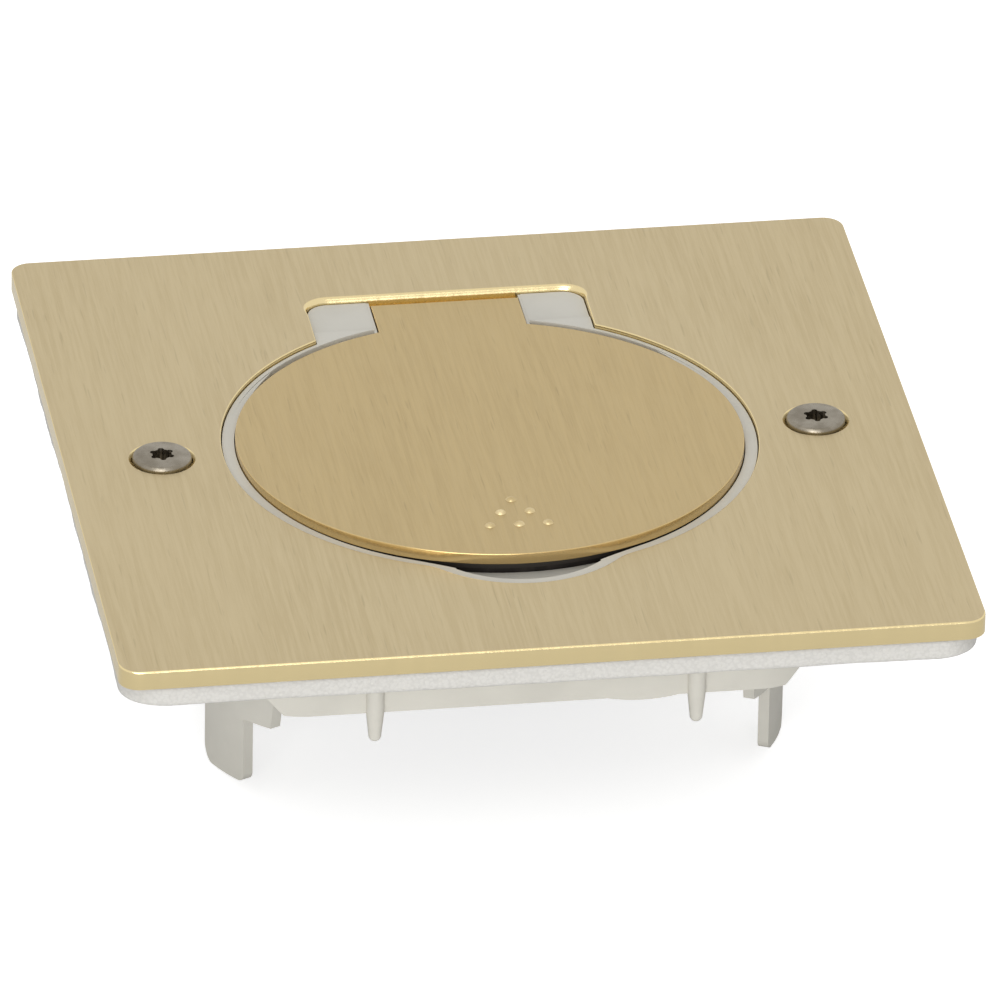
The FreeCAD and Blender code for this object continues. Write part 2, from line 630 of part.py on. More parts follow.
def lid_carrier():
    tab = LID_TAB_HALF_WIDTH - CARRIER_TAB_INSET
    body = rod(CARRIER_R, CARRIER_BOTTOM, LID_BOTTOM)
    hollow = rod(CARRIER_R - CARRIER_RIM, CARRIER_BOTTOM, LID_BOTTOM - CARRIER_SHELL)
    body = body.cut(hollow)
    rib = block(0, CARRIER_R - CARRIER_RIM / 2, -CARRIER_RIB / 2, CARRIER_RIB / 2, CARRIER_BOTTOM, LID_BOTTOM)
    ribs = [turned(rib, 90.0 + 360.0 * i / CARRIER_RIBS) for i in range(CARRIER_RIBS)]
    bosses = [rod(LID_SCREW_BOSS_R, CARRIER_BOTTOM, LID_BOTTOM, p.x, p.y) for p in lid_screw_places()]
    strap = block(-tab, tab, CARRIER_R - CARRIER_RIM, HINGE_Y, CARRIER_BOTTOM, LID_BOTTOM)
    barrel = cross_rod(KNUCKLE_R, -tab, tab, HINGE_Y, HINGE_Z)
    carrier = joined([body, strap, barrel] + ribs + bosses)
    gap = knuckle_inner_x()
    cuts = [cross_rod(HINGE_PIN_R + KNUCKLE_RUNNING, -tab, tab, HINGE_Y, HINGE_Z)]
    cuts.append(block(-gap, gap, HINGE_Y - KNUCKLE_R, NOTCH_BACK, HINGE_Z - BARREL_R, LID_BOTTOM + KNUCKLE_R))
    head = LID_SCREW_HEAD_R
    for place in lid_screw_places():
        cuts.append(rod(LID_SCREW_R, CARRIER_BOTTOM, LID_BOTTOM, place.x, place.y))
        cuts.append(taper(head, LID_SCREW_R, CARRIER_BOTTOM, CARRIER_BOTTOM + head - LID_SCREW_R, place.x, place.y))
    return lifted(carrier.cut(cuts))


def lid_seal():
    outer = CARRIER_R - SEAL_EDGE_INSET
    return lifted(ring(outer, outer - SEAL_WIDTH, SEAL_BOTTOM, CARRIER_BOTTOM))


def lid_screws():
    screws = []
    for place in lid_screw_places():
        head_high = CARRIER_BOTTOM + LID_SCREW_HEAD_R - LID_SCREW_R
        head = taper(LID_SCREW_HEAD_R, LID_SCREW_R, CARRIER_BOTTOM, head_high)
        shank = rod(LID_SCREW_R, head_high, LID_BOTTOM + LID_SCREW_BITE)
        slot = driver_slot(LID_SCREW_HEAD_R, CARRIER_BOTTOM)
        screws.append(lifted(moved(head.fuse(shank).cut(slot), place.x, place.y)))
    return screws


def hinge_pin():
    pin = cross_rod(HINGE_PIN_R, -HINGE_PIN_HALF, HINGE_PIN_HALF, HINGE_Y, HINGE_Z)
    ends = [e for e in pin.Edges if e.BoundBox.XLength < 1e-6]
    return pin.makeChamfer(HINGE_PIN_R / 4, ends)


def lid_spring():
    """A close-wound torsion spring on the pin, with one leg under the lid and one down on the collar."""
    wire = SPRING_WIRE_R
    middle_r = SPRING_INNER_R + wire
    start = -SPRING_COILS * wire
    crest = []
    for i in range(SPRING_COILS):
        x = start + (2 * i + 1) * wire
        crest.append(arc(V(x - wire, middle_r, 0), V(x, middle_r + wire, 0), V(x + wire, middle_r, 0)))
    ends = [V(-start, middle_r, 0), V(-start, SPRING_INNER_R, 0), V(start, SPRING_INNER_R, 0), V(start, middle_r, 0)]
    edges = crest + [Part.makeLine(a, b) for a, b in zip(ends, ends[1:])]
    coil = face_of(edges).revolve(V(0, 0, 0), V(1, 0, 0), 360)
    long_leg = Part.makeCylinder(wire, SPRING_LEG_REACH, V(start + wire, 0, -middle_r), V(0, -1, 0))
    drop = BARREL_R + CHANNEL_GAP - wire
    short_leg = Part.makeCylinder(wire, drop, V(-start - wire, middle_r, 0), V(0, 0, -1))
    return moved(joined([coil, long_leg, short_leg]), 0, HINGE_Y, HINGE_Z)


def pole_place(reach, direction):
    angle = math.radians(direction)
    return V(reach * math.cos(angle), reach * math.sin(angle), 0)


def at_pole(shape, pole):
    """Turn a shape drawn at the origin, with its slot along X, so that +Y faces the pole's terminal."""
    name, reach, direction, side = pole
    place = pole_place(reach, direction)
    return moved(turned(shape, side - 90.0), place.x, place.y)


def slot(z0, z1, grow=0.0):
    half_length = SLOT_LENGTH / 2 + grow
    half_width = SLOT_WIDTH / 2 + grow
    return block(-half_length, half_length, -half_width, half_width, z0, z1)


def socket_face():
    face = rounded_prism(INSERT_HALF, INSERT_HALF, INSERT_CORNER_R, INSERT_SEAT, INSERT_TOP)
    face = round_level_edges(face, INSERT_TOP, INSERT_EDGE_R)
    cuts = [rod(DISH_R, INSERT_TOP - DISH_DEPTH, INSERT_TOP + OVER)]
    for pole in POLES:
        cuts.append(at_pole(slot(INSERT_SEAT - OVER, INSERT_TOP + OVER), pole))
    for x, y in body_screw_places():
        cuts.append(rod(BODY_SCREW_R, INSERT_SEAT - OVER, INSERT_TOP - DISH_DEPTH - BODY_SCREW_SKIN, x, y))
    return face.cut(cuts)


def body_screw_places():
    return [(x, y) for x in (-BODY_SCREW_X, BODY_SCREW_X) for y in (-BODY_SCREW_Y, BODY_SCREW_Y)]


def shutter_span():
    """The shutter's low and high corners at rest, in plan."""
    live = pole_place(PIN_CIRCLE_R, POLES[0][2])
    slant = math.radians(POLES[0][3] - 90.0)
    half_x = (abs(SLOT_LENGTH * math.cos(slant)) + abs(SLOT_WIDTH * math.sin(slant))) / 2
    half_y = (abs(SLOT_LENGTH * math.sin(slant)) + abs(SLOT_WIDTH * math.cos(slant))) / 2
    low_x = live.x - half_x - SHUTTER_TRAVEL - SHUTTER_MARGIN
    high_x = -live.x + half_x + SHUTTER_MARGIN
    return low_x, high_x, live.y - half_y - SHUTTER_MARGIN, live.y + half_y + SHUTTER_MARGIN


def socket_shutter():
    x0, x1, y0, y1 = shutter_span()
    plate = block(x0, x1, y0, y1, SHUTTER_BOTTOM, SHUTTER_TOP)
    windows = []
    for pole in POLES[:2]:
        window = at_pole(slot(SHUTTER_BOTTOM - OVER, SHUTTER_TOP + OVER, SHUTTER_CLEAR), pole)
        windows.append(moved(window, -SHUTTER_TRAVEL, 0))
    return plate.cut(windows)


def shutter_pocket_end():
    return shutter_span()[1] + SHUTTER_TRAVEL + SHUTTER_SPRING_ROOM


def shutter_spring():
    """A bowed leaf between the shutter's end and the wall of its pocket."""
    x0, x1, y0, y1 = shutter_span()
    middle = (y0 + y1) / 2
    leaf = SHUTTER_SPRING_LEAF
    crown = x1 + SHUTTER_CLEAR
    foot = shutter_pocket_end()
    outer = arc(V(foot, y0, 0), V(crown, middle, 0), V(foot, y1, 0))
    inner = arc(V(foot, y1 - leaf, 0), V(crown + leaf, middle, 0), V(foot, y0 + leaf, 0))
    ends = [Part.makeLine(V(foot, y1, 0), V(foot, y1 - leaf, 0)), Part.makeLine(V(foot, y0 + leaf, 0), V(foot, y0, 0))]
    bow = face_of([outer, ends[0], inner, ends[1]])
    return moved(bow, 0, 0, SHUTTER_BOTTOM).extrude(V(0, 0, SHUTTER_THICK))


def chamber():
    """The hollow for one contact and its terminal, drawn at the origin."""
    half = CONTACT_WIDTH / 2 + CHAMBER_GAP
    side = CONTACT_MOUTH / 2 + CONTACT_THICK + CONTACT_FLARE + CHAMBER_GAP
    contact_room = block(-half, half, -side, side, CONTACT_BOTTOM, SHUTTER_POCKET + OVER)
    long = TERMINAL_LONG / 2 + CHAMBER_GAP
    far = TERMINAL_OUT + TERMINAL_DEEP / 2 + CHAMBER_GAP
    terminal_room = block(-long, long, 0, far, TERMINAL_BOTTOM, TERMINAL_TOP + CHAMBER_GAP)
    wire_way = Part.makeCylinder(WIRE_HOLE_R, INSERT_HALF, V(0, TERMINAL_OUT, wire_level()), V(0, 1, 0))
    screw_way = rod(TERMINAL_SCREW_HEAD_R + CHAMBER_GAP, BODY_BOTTOM - OVER, TERMINAL_BOTTOM, 0, terminal_screw_y())
    return joined([contact_room, terminal_room, wire_way, screw_way])


def wire_level():
    return TERMINAL_BOTTOM + WIRE_HOLE_RISE


def terminal_screw_y():
    return TERMINAL_OUT + TERMINAL_DEEP / 2 - TERMINAL_SCREW_HEAD_R - CHAMBER_GAP


def chamber_boss():
    """The moulded boss that holds the deep end of one contact, drawn at the origin."""
    half = CONTACT_WIDTH / 2 + CHAMBER_GAP + CHAMBER_WALL
    side = CONTACT_MOUTH / 2 + CONTACT_THICK + CONTACT_FLARE + CHAMBER_GAP + CHAMBER_WALL
    return rounded_prism(half, side, CHAMBER_WALL, CHAMBER_BOTTOM, BODY_BOTTOM)


def clip_notch():
    half = CLIP_WIDTH / 2 + CHAMBER_GAP
    outer = INSERT_HALF - INSERT_BODY_INSET
    low = FRAME_FLOOR_BOTTOM - CLIP_THICK - CHAMBER_GAP
    return block(outer - CLIP_THICK, outer + OVER, -half, half, low, INSERT_SEAT + OVER)


def socket_body():
    half = INSERT_HALF - INSERT_BODY_INSET
    body = rounded_prism(half, half, INSERT_CORNER_R, BODY_BOTTOM, INSERT_SEAT)
    body = joined([body] + [at_pole(chamber_boss(), pole) for pole in POLES])
    x0, x1, y0, y1 = shutter_span()
    clear = SHUTTER_CLEAR
    cuts = [block(x0 - clear, shutter_pocket_end(), y0 - clear, y1 + clear, SHUTTER_POCKET, INSERT_SEAT + OVER)]
    cuts += [at_pole(chamber(), pole) for pole in POLES]
    earth = POLES[2]
    cuts.append(at_pole(slot(SHUTTER_POCKET - OVER, INSERT_SEAT + OVER, clear), earth))
    for x, y in body_screw_places():
        cuts.append(rod(BODY_SCREW_R + SHUTTER_CLEAR, BODY_BOTTOM - OVER, INSERT_SEAT + OVER, x, y))
    cuts += left_and_right(clip_notch())
    return body.cut(cuts)


def contact():
    """A folded brass contact: two sprung leaves with a flared mouth, drawn at the origin."""
    near = CONTACT_MOUTH / 2
    far = near + CONTACT_THICK
    flare = CONTACT_FLARE
    lead = CONTACT_TOP - 2 * flare
    floor = CONTACT_BOTTOM + CONTACT_THICK
    right = [(far, CONTACT_BOTTOM), (far, lead), (far + flare, CONTACT_TOP), (near + flare, CONTACT_TOP)]
    right += [(near, lead), (near, floor)]
    left = [(-y, z) for y, z in reversed(right)]
    profile = polygon([V(-CONTACT_WIDTH / 2, y, z) for y, z in right + left])
    return profile.extrude(V(CONTACT_WIDTH, 0, 0))


def terminal():
    """A brass terminal block against the contact's outer leaf, drawn at the origin."""
    near = CONTACT_MOUTH / 2 + CONTACT_THICK
    far = near + TERMINAL_DEEP
    low = TERMINAL_BOTTOM
    high = CONTACT_TOP - 2 * CONTACT_FLARE - CHAMBER_GAP
    body = block(-TERMINAL_LONG / 2, TERMINAL_LONG / 2, near, far, low, min(high, TERMINAL_TOP))
    wire = Part.makeCylinder(WIRE_HOLE_R, TERMINAL_DEEP, V(0, near + CONTACT_THICK, wire_level()), V(0, 1, 0))
    screw = rod(TERMINAL_SCREW_R, low, wire_level(), 0, terminal_screw_y())
    return body.cut([wire, screw])


def terminal_screws():
    screws = []
    for pole in POLES:
        head_low = TERMINAL_BOTTOM - TERMINAL_SCREW_HEAD
        head = rod(TERMINAL_SCREW_HEAD_R, head_low, TERMINAL_BOTTOM, 0, terminal_screw_y())
        shank = rod(TERMINAL_SCREW_R, TERMINAL_BOTTOM, wire_level() - WIRE_HOLE_R / 2, 0, terminal_screw_y())
        groove = moved(driver_slot(TERMINAL_SCREW_HEAD_R, head_low), 0, terminal_screw_y())
        screws.append(at_pole(head.fuse(shank).cut(groove), pole))
    return screws


def body_screws():
    screws = []
    for x, y in body_screw_places():
        head = rod(BODY_SCREW_HEAD_R, BODY_BOTTOM - BODY_SCREW_HEAD, BODY_BOTTOM)
        shank = rod(BODY_SCREW_R, BODY_BOTTOM, INSERT_TOP - DISH_DEPTH - BODY_SCREW_SKIN - BODY_SCREW_TIP_GAP)
        groove = driver_slot(BODY_SCREW_HEAD_R, BODY_BOTTOM - BODY_SCREW_HEAD)
        screws.append(moved(head.fuse(shank).cut(groove), x, y))
    return screws


def insert_clips():
    """Spring steel clips at the insert's sides that hook under the frame's floor."""
    outer = INSERT_HALF - INSERT_BODY_INSET
    half = CLIP_WIDTH / 2
    hook_low = FRAME_FLOOR_BOTTOM - CLIP_THICK
    leaf = block(outer - CLIP_THICK, outer, -half, half, hook_low, INSERT_SEAT)
    hook = block(outer - CLIP_THICK, outer + CLIP_HOOK, -half, half, hook_low, FRAME_FLOOR_BOTTOM)
    return left_and_right(joined([leaf, hook]))


def parts():
    yield "cover_plate", cover_plate()
    yield "floor_gasket", floor_gasket()
    yield "support_frame", support_frame()
    yield "cover_screws", cover_screws()
    yield "screw_retainers", screw_retainers()
    yield "collar", collar()
    yield "collar_screws", collar_screws()
    yield "lid_plate", lid_plate()
    yield "lid_carrier", lid_carrier()
    yield "lid_seal", lid_seal()
    yield "lid_screws", lid_screws()
    yield "hinge_pin", hinge_pin()
    yield "lid_spring", lid_spring()
    yield "socket_face", socket_face()
    yield "socket_body", socket_body()
    yield "socket_shutter", socket_shutter()
    yield "shutter_spring", shutter_spring()
    for pole in POLES:
        yield pole[0] + "_contact", at_pole(contact(), pole)
        yield pole[0] + "_terminal", at_pole(terminal(), pole)
    yield "terminal_screws", terminal_screws()
    yield "body_screws", body_screws()
    yield "insert_clips", insert_clips()


def main():
    os.makedirs("parts", exist_ok=True)
    for name, shape in parts():
        solids = shape if isinstance(shape, list) else [shape]
        solids = [solid for piece in solids for solid in piece.Solids]
        whole = solids[0] if len(solids) == 1 else Part.makeCompound(solids)
        whole.exportStep("parts/" + name + ".step")
        state = "valid" if whole.isValid() else "NOT VALID"
        print(name, len(solids), "solids", round(whole.Volume, 1), "mm3", state)


main()
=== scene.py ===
import json
import math

import bmesh
import bpy
from mathutils import Matrix, Vector, geometry, noise


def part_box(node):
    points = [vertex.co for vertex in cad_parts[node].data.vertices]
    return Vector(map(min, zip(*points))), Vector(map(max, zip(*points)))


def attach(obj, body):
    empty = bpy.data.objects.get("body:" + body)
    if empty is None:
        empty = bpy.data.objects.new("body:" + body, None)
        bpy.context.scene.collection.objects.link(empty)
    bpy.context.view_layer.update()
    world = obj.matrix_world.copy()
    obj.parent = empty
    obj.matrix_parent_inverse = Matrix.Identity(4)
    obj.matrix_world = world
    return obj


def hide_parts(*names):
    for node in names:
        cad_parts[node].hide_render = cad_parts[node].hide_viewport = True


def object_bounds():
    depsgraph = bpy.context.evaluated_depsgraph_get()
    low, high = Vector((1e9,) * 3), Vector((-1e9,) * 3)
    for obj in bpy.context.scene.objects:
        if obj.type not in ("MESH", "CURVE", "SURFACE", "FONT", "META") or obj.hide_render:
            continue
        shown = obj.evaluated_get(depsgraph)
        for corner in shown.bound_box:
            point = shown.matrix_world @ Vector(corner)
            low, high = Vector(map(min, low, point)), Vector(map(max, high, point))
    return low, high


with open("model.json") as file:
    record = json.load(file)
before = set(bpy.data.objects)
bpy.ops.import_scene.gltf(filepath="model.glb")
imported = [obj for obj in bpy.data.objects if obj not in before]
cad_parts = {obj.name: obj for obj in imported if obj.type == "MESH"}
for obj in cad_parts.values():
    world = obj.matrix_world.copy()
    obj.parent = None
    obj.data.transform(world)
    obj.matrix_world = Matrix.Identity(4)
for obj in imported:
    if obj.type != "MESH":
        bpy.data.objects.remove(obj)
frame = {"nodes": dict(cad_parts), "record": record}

# A floor socket's flush cover: the CAD nodes get their materials here, and the brass cover, the lid,
# its pips, the collar's edge and the foam pad get meshes with finer edges than the solids have.
CAD_LOW, CAD_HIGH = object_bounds()
MM = 0.001
NODES = frame["nodes"]


# ---------------------------------------------------------------- colour and node helpers

def linear(red, green, blue):
    """An sRGB colour of 0 to 255 as linear RGBA."""
    def one(value):
        c = value / 255.0
        return c / 12.92 if c <= 0.04045 else ((c + 0.055) / 1.055) ** 2.4
    return (one(red), one(green), one(blue), 1.0)


def shade(colour, factor, lift=0.0):
    """A linear colour made darker or paler, still opaque."""
    return tuple(c * factor + lift for c in colour[:3]) + (1.0,)


class Shader:
    """A material with a Principled shader, and short calls that add and link nodes."""

    def __init__(self, name, roughness=0.5, metallic=0.0):
        self.material = bpy.data.materials.new(name)
        self.material.use_nodes = True
        self.tree = self.material.node_tree
        self.tree.nodes.clear()
        self.output = self.add("ShaderNodeOutputMaterial")
        self.main = self.add("ShaderNodeBsdfPrincipled")
        self.set(Roughness=roughness, Metallic=metallic)
        self.link(self.main.outputs[0], self.output.inputs["Surface"])
        self.coords = self.add("ShaderNodeTexCoord").outputs["Object"]

    def add(self, kind, **settings):
        node = self.tree.nodes.new(kind)
        for key, value in settings.items():
            setattr(node, key, value)
        return node

    def link(self, start, end):
        self.tree.links.new(start, end)

    def put(self, value, socket):
        """A plain value is set on the socket and an output is linked to it."""
        if isinstance(value, (int, float, tuple)):
            socket.default_value = value
        else:
            self.link(value, socket)

    def set(self, **values):
        """Set or feed the Principled shader's sockets, with _ for each space in a name."""
        for key, value in values.items():
            self.put(value, self.main.inputs[key.replace("_", " ")])

    def scaled(self, rate):
        """Object coordinates times a rate per metre: one number, or one for each axis."""
        mapping = self.add("ShaderNodeMapping")
        mapping.inputs["Scale"].default_value = rate if isinstance(rate, tuple) else (rate,) * 3
        self.link(self.coords, mapping.inputs["Vector"])
        return mapping.outputs[0]

    def noise(self, rate, detail=3.0, roughness=0.55):
        node = self.add("ShaderNodeTexNoise")
        node.inputs["Scale"].default_value = 1.0
        node.inputs["Detail"].default_value = detail
        node.inputs["Roughness"].default_value = roughness
        self.link(self.scaled(rate), node.inputs["Vector"])
        return node.outputs["Fac"]

    def cells(self, rate):
        """Distance to the middle of the nearest cell."""
        node = self.add("ShaderNodeTexVoronoi", feature="F1")
        node.inputs["Scale"].default_value = 1.0
        self.link(self.scaled(rate), node.inputs["Vector"])
        return node.outputs["Distance"]

    def ramp(self, value, low, high, out_low=0.0, out_high=1.0):
        """A smooth step from out_low to out_high as the value goes from low to high."""
        node = self.add("ShaderNodeMapRange", interpolation_type="SMOOTHSTEP")
        ends = {"From Min": low, "From Max": high, "To Min": out_low, "To Max": out_high}
        for name, number in ends.items():
            node.inputs[name].default_value = number
        self.link(value, node.inputs["Value"])
        return node.outputs["Result"]

    def calc(self, operation, first, second=0.0):
        node = self.add("ShaderNodeMath", operation=operation)
        self.put(first, node.inputs[0])
        self.put(second, node.inputs[1])
        return node.outputs[0]

    def mix(self, share, first, second):
        node = self.add("ShaderNodeMix", data_type="RGBA", blend_type="MIX")
        for index, value in ((0, share), (6, first), (7, second)):
            self.put(value, node.inputs[index])
        return node.outputs[2]

    def bump(self, height, distance, strength):
        node = self.add("ShaderNodeBump")
        node.inputs["Strength"].default_value = strength
        node.inputs["Distance"].default_value = distance
        self.link(height, node.inputs["Height"])
        return node.outputs[0]

    def level(self):
        """How far the surface faces up or down: 1 on level faces, 0 on upright ones."""
        split = self.add("ShaderNodeSeparateXYZ")
        self.link(self.add("ShaderNodeNewGeometry").outputs["Normal"], split.inputs[0])
        return self.calc("ABSOLUTE", split.outputs["Z"])


# ---------------------------------------------------------------- materials

# Texture rates per metre. Brush lines are long in Y and narrow in X.
BRUSH_HAIRS = (7500, 210, 210)
BRUSH_LINES = (2100, 65, 65)
BRUSH_CLOUDS = (55, 22, 55)
BRUSH_DASHES = (3300, 150, 150)
BRUSH_NICKS = 900
BRUSH_BUMP = 0.000025
LEVEL_FROM, LEVEL_TO = 0.93, 0.995
DASH_TONE = 0.72
DASH_STRENGTH = 0.4

PLASTIC_CLOUDS = 90
PLASTIC_GRAIN = 5200
PLASTIC_WAVES = 260
PLASTIC_BUMP = 0.00002
PLASTIC_GLOSS_SPREAD = 0.06

FOAM_BEADS = 2300
FOAM_PORES = 5200
FOAM_LUMPS = 500
FOAM_BUMP = 0.00011
FOAM_SEAM_TONE = 0.93

METAL_SCUFFS = 2400
METAL_CLOUDS = 420
METAL_BUMP = 0.00003

RUBBER_BLOOM = 500
RUBBER_BUMP = 0.00005

FLOOR_GREY = 0.80
FLOOR_GLOW = 0.65

BRASS_FACE = linear(198, 182, 146)
BRASS_STREAK = linear(188, 171, 134)
# Painted sheen: the cover's lips and sides are painted paler than its level faces, as they look where they
# catch the light
BRASS_EDGE_PAINTED_SHEEN = linear(228, 209, 160)
LID_FACE = linear(192, 171, 126)
LID_STREAK = linear(183, 162, 118)
# Painted reflection: the lid's rim colour, with its lower metalness, stands in for the darker ochre the rim
# reflects
LID_EDGE_PAINTED_REFLECTION = linear(201, 175, 122)
# Painted highlight: the pips are painted paler than the lid's brass they stand on
PIP_PAINTED_SHEEN = linear(230, 212, 168)


def brushed_brass(name, face, streak, edge, edge_metal=1.0):
    """Brass brushed front to back on its level faces, with smoother edges whose edge colour is painted light:
    painted sheen on the cover, painted reflection on the lid's rim.
    """
    s = Shader(name)
    hairs = s.noise(BRUSH_HAIRS, detail=2.0)
    lines = s.noise(BRUSH_LINES, detail=4.0, roughness=0.7)
    clouds = s.noise(BRUSH_CLOUDS)
    dashes = s.ramp(s.noise(BRUSH_DASHES, detail=1.0), 0.66, 0.76)
    level = s.ramp(s.level(), LEVEL_FROM, LEVEL_TO)
    tone = s.mix(s.ramp(lines, 0.34, 0.66), streak, face)
    tone = s.mix(s.ramp(hairs, 0.36, 0.6, 0.45, 0.0), tone, streak)
    tone = s.mix(s.calc("MULTIPLY", dashes, DASH_STRENGTH), tone, shade(streak, DASH_TONE))
    tone = s.mix(s.ramp(clouds, 0.3, 0.7, 0.0, 0.35), tone, face)
    face_rough = s.calc("MULTIPLY", level, s.ramp(hairs, 0.2, 0.8, 0.36, 0.5))
    edge_rough = s.calc("MULTIPLY", s.calc("SUBTRACT", 1.0, level), s.ramp(lines, 0.3, 0.7, 0.16, 0.26))
    brush = s.calc("MULTIPLY", s.calc("ADD", hairs, s.calc("MULTIPLY", lines, 1.2)), level)
    height = s.calc("ADD", brush, s.calc("MULTIPLY", s.noise(BRUSH_NICKS), 0.8))
    s.set(
        # Upright faces and lips take the edge colour by the way they face. This colour is painted light; the
        # lower roughness is the edges' real polish
        Base_Color=s.mix(level, edge, tone),
        Metallic=s.ramp(level, 0.0, 1.0, edge_metal, 1.0),
        Roughness=s.calc("ADD", face_rough, edge_rough),
        Normal=s.bump(height, BRUSH_BUMP, 0.5),
    )
    return s.material


def moulded_plastic(name, colour, roughness=0.5, mottle=0.04):
    """Moulded plastic: faint clouding, a fine spark-eroded grain and uneven gloss."""
    s = Shader(name)
    clouds = s.ramp(s.noise(PLASTIC_CLOUDS, detail=4.0), 0.3, 0.7)
    grain = s.noise(PLASTIC_GRAIN, detail=2.0)
    waves = s.noise(PLASTIC_WAVES, detail=2.0)
    gloss = (roughness - PLASTIC_GLOSS_SPREAD, roughness + PLASTIC_GLOSS_SPREAD)
    height = s.calc("ADD", grain, s.calc("MULTIPLY", waves, 0.8))
    s.set(
        Base_Color=s.mix(clouds, shade(colour, 1.0 - 2 * mottle), colour),
        Roughness=s.ramp(waves, 0.3, 0.7, *gloss),
        Normal=s.bump(height, PLASTIC_BUMP, 0.6),
    )
    return s.material


def foam(name, colour):
    """Cut closed-cell foam: pale beads with slightly darker seams between them."""
    s = Shader(name, roughness=0.9)
    beads = s.cells(FOAM_BEADS)
    pores = s.calc("MULTIPLY", s.cells(FOAM_PORES), 0.35)
    lumps = s.calc("MULTIPLY", s.noise(FOAM_LUMPS, detail=4.0), 0.6)
    height = s.calc("SUBTRACT", lumps, s.calc("ADD", beads, pores))
    s.set(
        Base_Color=s.mix(s.ramp(beads, 0.35, 0.75), colour, shade(colour, FOAM_SEAM_TONE)),
        Normal=s.bump(height, FOAM_BUMP, 0.55),
        Subsurface_Weight=0.15,
        Subsurface_Scale=0.0015,
        Subsurface_Radius=(1.0, 1.0, 0.9),
        Specular_IOR_Level=0.2,
    )
    return s.material


def satin_metal(name, colour, dark, smooth=0.24, rough=0.42):
    """Satin metal with fine scuffs and a slight tarnish."""
    s = Shader(name, metallic=1.0)
    scuffs = s.noise(METAL_SCUFFS, detail=5.0, roughness=0.7)
    s.set(
        Base_Color=s.mix(s.ramp(s.noise(METAL_CLOUDS), 0.3, 0.7), dark, colour),
        Roughness=s.ramp(scuffs, 0.3, 0.7, smooth, rough),
        Normal=s.bump(scuffs, METAL_BUMP, 0.35),
    )
    return s.material


def rubber(name, colour):
    """Matt rubber with a faint pale bloom."""
    s = Shader(name, roughness=0.75)
    bloom = s.noise(RUBBER_BLOOM, detail=4.0)
    s.set(
        Base_Color=s.mix(s.ramp(bloom, 0.4, 0.8), colour, shade(colour, 1.8, 0.01)),
        Normal=s.bump(bloom, RUBBER_BUMP, 0.5),
    )
    return s.material


def floor_paper():
    """A plain pale sweep. The camera sees it close to white, and it keeps a light shadow."""
    s = Shader("pale_floor", roughness=0.9)
    s.set(Base_Color=(FLOOR_GREY, FLOOR_GREY, FLOOR_GREY, 1.0), Specular_IOR_Level=0.0)
    glow = s.add("ShaderNodeEmission")
    seen = s.add("ShaderNodeLightPath").outputs["Is Camera Ray"]
    s.link(s.calc("MULTIPLY", seen, FLOOR_GLOW), glow.inputs["Strength"])
    both = s.add("ShaderNodeAddShader")
    s.link(s.main.outputs[0], both.inputs[0])
    s.link(glow.outputs[0], both.inputs[1])
    s.link(both.outputs[0], s.output.inputs["Surface"])
    return s.material


# By node name where a node has its own, and otherwise by material slot
MATERIALS = {
    # The cover's edge colour is painted sheen
    "cover_plate": brushed_brass("cover_brass", BRASS_FACE, BRASS_STREAK, BRASS_EDGE_PAINTED_SHEEN),
    # The lid's rim: edge colour and edge_metal 0.75 give it a painted, shaded reflection
    "lid_plate": brushed_brass("lid_brass", LID_FACE, LID_STREAK, LID_EDGE_PAINTED_REFLECTION, edge_metal=0.75),
    # The pips' paler colour is a painted highlight over the lid's brass tone
    "lid_pips": satin_metal("pip_brass", PIP_PAINTED_SHEEN, LID_FACE, smooth=0.34, rough=0.46),
    "white_plastic": moulded_plastic("white_plastic", linear(203, 200, 190)),
    "support_frame": moulded_plastic("frame_plastic", linear(206, 203, 193)),
    "foam": foam("white_foam", linear(202, 200, 195)),
    "screw_steel": satin_metal("screw_steel", linear(152, 145, 132), linear(126, 118, 104)),
    "spring_steel": satin_metal("spring_steel", linear(190, 190, 190), linear(160, 160, 162)),
    "black_rubber": rubber("black_rubber", linear(34, 29, 24)),
    "grey_plastic": moulded_plastic("grey_plastic", linear(52, 47, 42), roughness=0.55),
    "socket_white": moulded_plastic("socket_white", linear(226, 225, 220), roughness=0.38, mottle=0.02),
    "nylon": moulded_plastic("nylon", linear(222, 219, 208), roughness=0.45, mottle=0.03),
    "contact_brass": satin_metal("contact_brass", linear(222, 190, 120), linear(190, 155, 90)),
}


def dress_cad_nodes():
    for entry in frame["record"]["subparts"]:
        node, slot = entry["node"], entry["material_slot"]
        mesh = NODES[node].data
        mesh.materials.clear()
        mesh.materials.append(MATERIALS.get(node) or MATERIALS[slot])


# ---------------------------------------------------------------- sizes, in millimetres

# The cover plate and its opening, as in the CAD part
PLATE_HALF = 50.0
PLATE_CORNER_R = 2.4
PLATE_LOW = 2.7
PLATE_TOP = 5.0
OPENING_R = 31.3
NOTCH_HALF = 16.6
NOTCH_BACK = 36.6
NOTCH_CORNER_R = 2.6
RECESS_R = 14.0
RECESS_Y = -20.6
RECESS_BLEND_R = 7.0
SCREW_X = 38.5
SINK_R = 3.9
HOLE_R = 1.9
SCREW_STEPS = 96

# Rounded lips. The opening's lip grows into the notch's lip from LIP_GROWS_Y on.
FRONT_LIP = 0.24
SIDE_LIP = 0.1
OPENING_LIP = 0.16
NOTCH_LIP = 0.75
LIP_GROWS_Y = 33.0
LIP_GROWS_OVER = 2.5
LIP_STEPS = 6
LIP_GUARD = 0.08
SPACING = 0.45
CLOSE = 0.01

